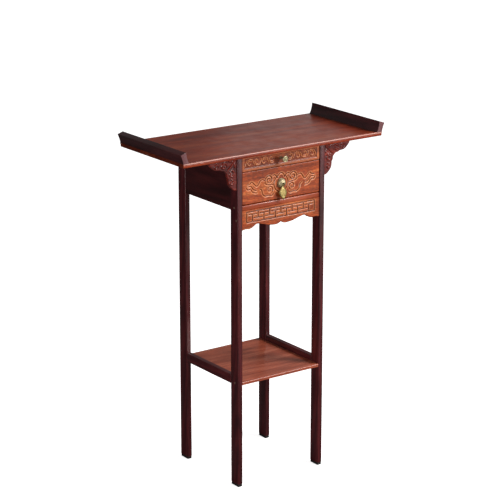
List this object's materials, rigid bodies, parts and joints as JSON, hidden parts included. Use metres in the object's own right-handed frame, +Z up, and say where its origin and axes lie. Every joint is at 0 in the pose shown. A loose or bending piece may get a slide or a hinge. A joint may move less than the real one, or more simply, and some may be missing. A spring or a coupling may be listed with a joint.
{
  "type": "household altar cabinet",
  "caption": "Tall narrow altar stand with a wide overhanging top, upturned ends, carved drawers, a fretted apron, scrolled brackets, slim legs and a low shelf.",
  "frame": {"origin": "on the floor, below the middle of the top", "axes": "+Z up, +X to the right seen from the front, the front faces -Y"},
  "size_m": [0.768, 0.35, 1.114],
  "materials": {
    "top_wood": "satin lacquer",
    "end_wood": "satin lacquer",
    "shelf_wood": "satin lacquer",
    "frame_wood": "satin lacquer",
    "panel_wood": "satin lacquer",
    "front_wood": "satin lacquer",
    "bracket_wood": "satin lacquer",
    "inside_wood": "unfinished",
    "screw_cap": "satin lacquer",
    "pull_brass": "pale antique",
    "foot_pad": "matte"
  },
  "bodies": {
    "case": {"top_board": "top_wood", "left_upturned_end": "end_wood", "right_upturned_end": "end_wood", "front_left_leg": "frame_wood", "front_right_leg": "frame_wood", "rear_left_leg": "frame_wood", "rear_right_leg": "frame_wood", "front_left_foot": "foot_pad", "front_right_foot": "foot_pad", "rear_left_foot": "foot_pad", "rear_right_foot": "foot_pad", "left_side_panel": "panel_wood", "right_side_panel": "panel_wood", "back_panel": "panel_wood", "case_floor": "inside_wood", "left_drawer_runner": "inside_wood", "right_drawer_runner": "inside_wood", "front_rail": "front_wood", "apron": "front_wood", "left_front_bracket": "bracket_wood", "right_front_bracket": "bracket_wood", "lower_shelf": "shelf_wood", "left_shelf_rail": "frame_wood", "right_shelf_rail": "frame_wood", "left_apron_screw_cap": "screw_cap", "left_rail_screw_cap": "screw_cap", "left_shelf_screw_cap": "screw_cap", "right_apron_screw_cap": "screw_cap", "right_rail_screw_cap": "screw_cap", "right_shelf_screw_cap": "screw_cap"},
    "upper_drawer": {"upper_drawer_front": "front_wood", "upper_drawer_left_side": "inside_wood", "upper_drawer_right_side": "inside_wood", "upper_drawer_back": "inside_wood", "upper_drawer_bottom": "inside_wood", "upper_drawer_knob": "pull_brass"},
    "lower_drawer": {"lower_drawer_front": "front_wood", "lower_drawer_left_side": "inside_wood", "lower_drawer_right_side": "inside_wood", "lower_drawer_back": "inside_wood", "lower_drawer_bottom": "inside_wood", "lower_drawer_pull_boss": "pull_brass"},
    "drop_pull": {"lower_drawer_drop_pull": "pull_brass"}
  },
  "joints": [
    {"name": "upper_drawer_slide", "type": "slide", "parent": "case", "child": "upper_drawer", "axis": [0, -1, 0], "range_m": [0, 0.2]},
    {"name": "lower_drawer_slide", "type": "slide", "parent": "case", "child": "lower_drawer", "axis": [0, -1, 0], "range_m": [0, 0.2]},
    {"name": "drop_pull_swing", "type": "hinge", "parent": "lower_drawer", "child": "drop_pull", "pos_m": [0, -0.156, 0.958], "axis": [-1, 0, 0], "range_deg": [0, 75]}
  ]
}
